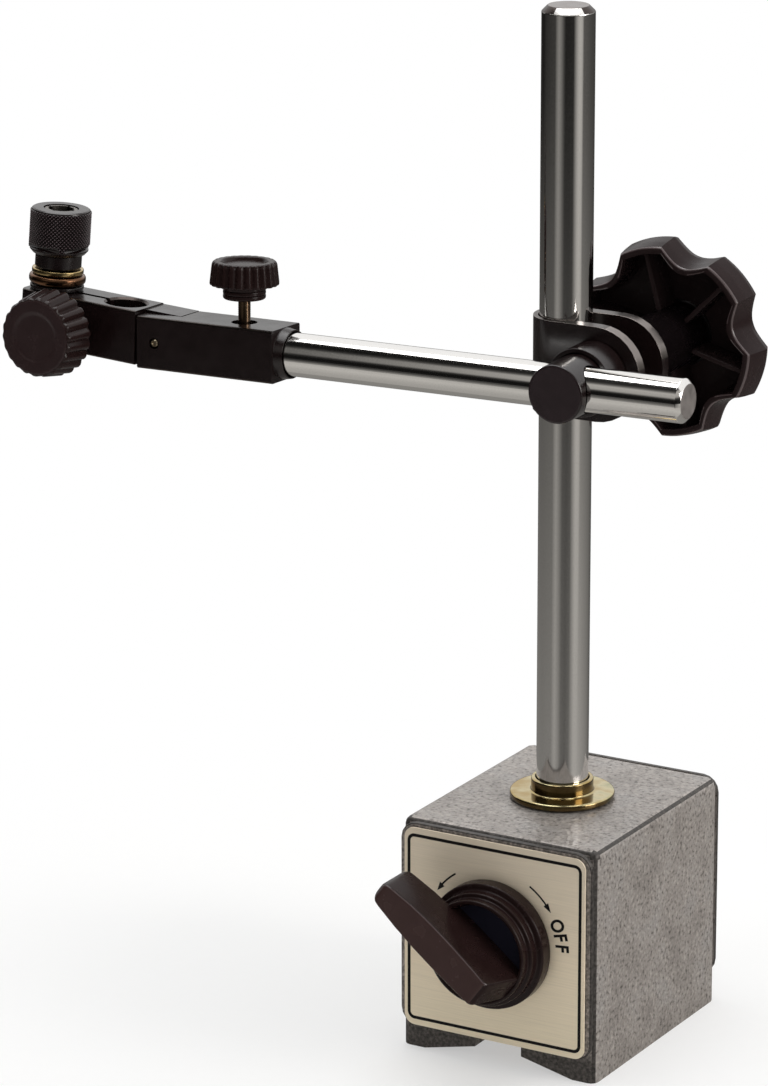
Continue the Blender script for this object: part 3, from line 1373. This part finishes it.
def add_floor(colours):
    """Add a plain pale floor that keeps the stand's shadow."""
    begin()
    bpy.ops.mesh.primitive_circle_add(vertices=96, radius=6.0, fill_type="NGON", location=(0, 0, 0))
    floor = bpy.context.object
    floor.name = "studio_floor"
    base = tuple(colours.floor)
    material, tree, shader = finish("studio_floor_paper", base, 0.9, 0.0)
    grain = object_noise(tree, 3.0, 2.0)
    vary(tree, shader, grain, shades(base, (0.3, 0.99), (0.7, 1.0)))
    # away from the stand the camera sees the paper as plain white, near it the shadow stays
    place = add(tree, "ShaderNodeTexCoord")
    span = add(tree, "ShaderNodeVectorMath", {0: place.outputs["Object"]}, operation="LENGTH")
    fade = {"From Min": 0.05, "From Max": 0.20, "To Min": 0.45}
    reach = {"Value": span.outputs["Value"]}
    away = add(tree, "ShaderNodeMapRange", reach, fade, interpolation_type="SMOOTHSTEP")
    path = add(tree, "ShaderNodeLightPath")
    sources = {0: away.outputs["Result"], 1: path.outputs["Is Camera Ray"]}
    part = add(tree, "ShaderNodeMath", sources, operation="MULTIPLY")
    white = add(tree, "ShaderNodeEmission", None, {"Color": (1, 1, 1, 1), "Strength": 1.0})
    sources = {"Fac": part.outputs["Value"], 1: shader.outputs["BSDF"], 2: white.outputs["Emission"]}
    mix = add(tree, "ShaderNodeMixShader", sources)
    tree.links.new(mix.outputs["Shader"], tree.nodes["Material Output"].inputs["Surface"])
    floor.data.materials.append(material)
    floor.visible_glossy = False


def add_lamp(name, place, target, size, power):
    """Add a square softbox that faces a point."""
    data = bpy.data.lights.new(name, "AREA")
    data.shape = "SQUARE"
    data.size = size
    data.energy = power
    lamp = bpy.data.objects.new(name, data)
    bpy.context.scene.collection.objects.link(lamp)
    lamp.location = place
    lamp.rotation_euler = (Vector(target) - Vector(place)).to_track_quat("-Z", "Y").to_euler()
    return lamp


def grey(value, warm=0.0):
    return (value, value * (1 - 0.03 * warm), value * (1 - 0.08 * warm))


def add_world():
    """Light the room evenly, and let glossy surfaces see a plain studio: tent, dark flags, grey table."""
    world = bpy.data.worlds.new("studio_world")
    bpy.context.scene.world = world
    world.use_nodes = True
    tree = world.node_tree
    tree.nodes.clear()
    place = add(tree, "ShaderNodeTexCoord")
    parts = add(tree, "ShaderNodeSeparateXYZ", {"Vector": place.outputs["Generated"]})
    rise_up = parts.outputs["Z"]
    height = add(tree, "ShaderNodeMapRange", {"Value": rise_up}, {"From Min": -1.0, "From Max": 1.0})
    front = add(tree, "ShaderNodeValToRGB", {"Fac": height.outputs["Result"]})
    # heights as shares from straight down to straight up
    stops(front, [(0.5 + z / 2, grey(value, 1)) for z, value in (
        (-1.0, 0.36), (-0.87, 0.42), (-0.6, 0.56), (-0.38, 0.50), (-0.34, 0.30), (-0.14, 0.01),
        (0.10, 0.006), (0.24, 0.03), (0.36, 0.20), (0.60, 0.24), (0.70, 0.06), (0.78, 0.012), (1.0, 0.012),
    )])
    rear = add(tree, "ShaderNodeValToRGB", {"Fac": height.outputs["Result"]})
    stops(rear, [(0.5 + z / 2, grey(value, warm)) for z, value, warm in (
        (-1.0, 0.30, 1), (-0.4, 0.22, 1), (-0.1, 0.12, 1), (0.05, 0.3, 1), (0.18, 1.0, 0), (1.0, 1.15, 0),
    )])
    span = {"From Min": -0.485, "From Max": -0.44, "To Min": 0.5, "To Max": 2.0}
    along = add(tree, "ShaderNodeMapRange", {"Value": parts.outputs["X"]}, span)
    upper = add(tree, "ShaderNodeMapRange", {"Value": rise_up}, {"From Min": 0.15, "From Max": 0.3})
    fac, over = upper.outputs["Result"], along.outputs["Result"]
    sources = {"Fac": fac, "Color1": front.outputs["Color"], "Color2": over}
    front = add(tree, "ShaderNodeMixRGB", sources, blend_type="MULTIPLY")
    depth = parts.outputs["Y"]
    behind = add(tree, "ShaderNodeMapRange", {"Value": depth}, {"From Min": 0.0, "From Max": 0.06})
    fac = behind.outputs["Result"]
    sources = {"Fac": fac, "Color1": front.outputs["Color"], "Color2": rear.outputs["Color"]}
    strata = add(tree, "ShaderNodeMixRGB", sources)
    ahead = add(tree, "ShaderNodeMath", {0: parts.outputs["Y"]}, {1: -1.0}, operation="MULTIPLY")
    bearing = add(
        tree, "ShaderNodeMath", {0: parts.outputs["X"], 1: ahead.outputs["Value"]}, operation="ARCTAN2"
    )
    span = {"From Min": -math.pi, "From Max": math.pi}
    turn = add(tree, "ShaderNodeMapRange", {"Value": bearing.outputs["Value"]}, span)
    # bearings in degrees from straight ahead of the base, positive to the right: seen level, and seen low
    bands = []
    for values in (
        ((-180, 0.05), (-118, 0.02), (-100, 0.01), (-75, 0.03), (-28, 0.045), (-21, 0.16), (-11, 0.26),
         (-1, 0.19), (9, 0.07), (17, 0.015), (52, 0.02), (61, 0.22), (71, 0.43), (80, 0.50), (90, 0.44),
         (98, 0.10), (140, 0.07), (180, 0.05)),
        ((-180, 0.12), (-120, 0.23), (-75, 0.22), (-25, 0.24), (-19, 0.30), (-9, 0.36), (8, 0.25),
         (17, 0.15), (35, 0.12), (52, 0.16), (61, 0.27), (75, 0.42), (90, 0.42), (120, 0.32),
         (150, 0.24), (180, 0.12)),
    ):
        ramp = add(tree, "ShaderNodeValToRGB", {"Fac": turn.outputs["Result"]})
        stops(ramp, [((degrees + 180.0) / 360.0, grey(value, 1)) for degrees, value in values])
        bands.append(ramp.outputs["Color"])

    def by_height(first, last, level, low):
        """Return what is seen level, giving way to what is seen low between two heights."""
        share = add(tree, "ShaderNodeMapRange", {"Value": rise_up}, {"From Min": first, "From Max": last})
        sources = {"Fac": share.outputs["Result"], "Color1": level, "Color2": low}
        return add(tree, "ShaderNodeMixRGB", sources).outputs["Color"]

    posts = by_height(-0.20, -0.33, *bands)
    under = by_height(-0.35, -0.39, posts, strata.outputs["Color"])
    room = by_height(-0.11, -0.14, strata.outputs["Color"], under)
    path = add(tree, "ShaderNodeLightPath")
    # the room is brighter on the right, where the window side of the studio would be
    span = {"From Min": 0.1, "From Max": 0.9, "To Min": 0.32, "To Max": 0.78}
    side = add(tree, "ShaderNodeMapRange", {"Value": parts.outputs["X"]}, span)
    even = add(tree, "ShaderNodeBackground", {"Strength": side.outputs["Result"]}, {"Color": (1, 1, 1, 1)})
    tent = add(tree, "ShaderNodeBackground", {"Color": room}, {"Strength": 1.0})
    white = add(tree, "ShaderNodeBackground", None, {"Color": (1, 1, 1, 1), "Strength": 1.0})
    seen = even.outputs["Background"]
    for ray, other in (("Is Glossy Ray", tent), ("Is Transmission Ray", white), ("Is Camera Ray", white)):
        sources = {"Fac": path.outputs[ray], 1: seen, 2: other.outputs["Background"]}
        seen = add(tree, "ShaderNodeMixShader", sources).outputs["Shader"]
    add(tree, "ShaderNodeOutputWorld", {"Surface": seen})


class STAND_OT_stage(StandOperator, bpy.types.Operator):
    """Set the camera, the floor, the softboxes and the room"""

    bl_idname = "stand.stage"
    bl_label = "Stage"

    def execute(self, context):
        add_camera()
        add_floor(context.scene.stand_colours)
        add_world()
        add_lamp("top_softbox", (-0.1, 0.1, 1.2), (0, 0, 0.05), 0.9, 9.0)
        left = add_lamp("left_softbox", (-1.0, -0.9, 0.8), (0, 0, 0.1), 0.7, 2.0)
        left.visible_glossy = False
        right = add_lamp("right_softbox", (1.5, 0.1, 0.6), (0, 0, 0.1), 0.7, 10.0)
        right.data.color = (1.0, 0.965, 0.93)
        context.scene.view_settings.view_transform = "Standard"
        return {"FINISHED"}


class STAND_PT_panel(bpy.types.Panel):
    """The stand's pieces and sizes in the sidebar"""

    bl_idname = "STAND_PT_panel"
    bl_label = "Magnetic indicator stand"
    bl_space_type = "VIEW_3D"
    bl_region_type = "UI"
    bl_category = "Stand"

    def draw(self, context):
        for operator in OPERATORS:
            self.layout.operator(operator.bl_idname)
        for name in GROUPS:
            box = self.layout.box()
            settings = getattr(context.scene, name)
            for prop in settings.bl_rna.properties:
                if not prop.is_readonly and prop.identifier != "name":
                    box.prop(settings, prop.identifier)


OPERATORS = (
    STAND_OT_finishes,
    STAND_OT_base,
    STAND_OT_print,
    STAND_OT_switch,
    STAND_OT_column,
    STAND_OT_clamp,
    STAND_OT_clamp_knob,
    STAND_OT_arm,
    STAND_OT_fine_adjustment,
    STAND_OT_post,
    STAND_OT_fluted_knob,
    STAND_OT_stage,
)
GROUPS = {
    "stand_base": BaseSizes,
    "stand_switch": SwitchSizes,
    "stand_column": ColumnSizes,
    "stand_arm": ArmSizes,
    "stand_tip": TipSizes,
    "stand_colours": StandColours,
}


def register():
    for group in (*GROUPS.values(), *OPERATORS, STAND_PT_panel):
        bpy.utils.register_class(group)
    for name, group in GROUPS.items():
        setattr(bpy.types.Scene, name, bpy.props.PointerProperty(type=group))


def unregister():
    for name in GROUPS:
        delattr(bpy.types.Scene, name)
    for group in (STAND_PT_panel, *reversed(OPERATORS), *GROUPS.values()):
        bpy.utils.unregister_class(group)


def main():
    register()
    for operator in OPERATORS:
        group, name = operator.bl_idname.split(".")
        if getattr(getattr(bpy.ops, group), name)() != {"FINISHED"}:
            raise RuntimeError(operator.bl_label + " did not finish")


if __name__ == "__main__":
    main()
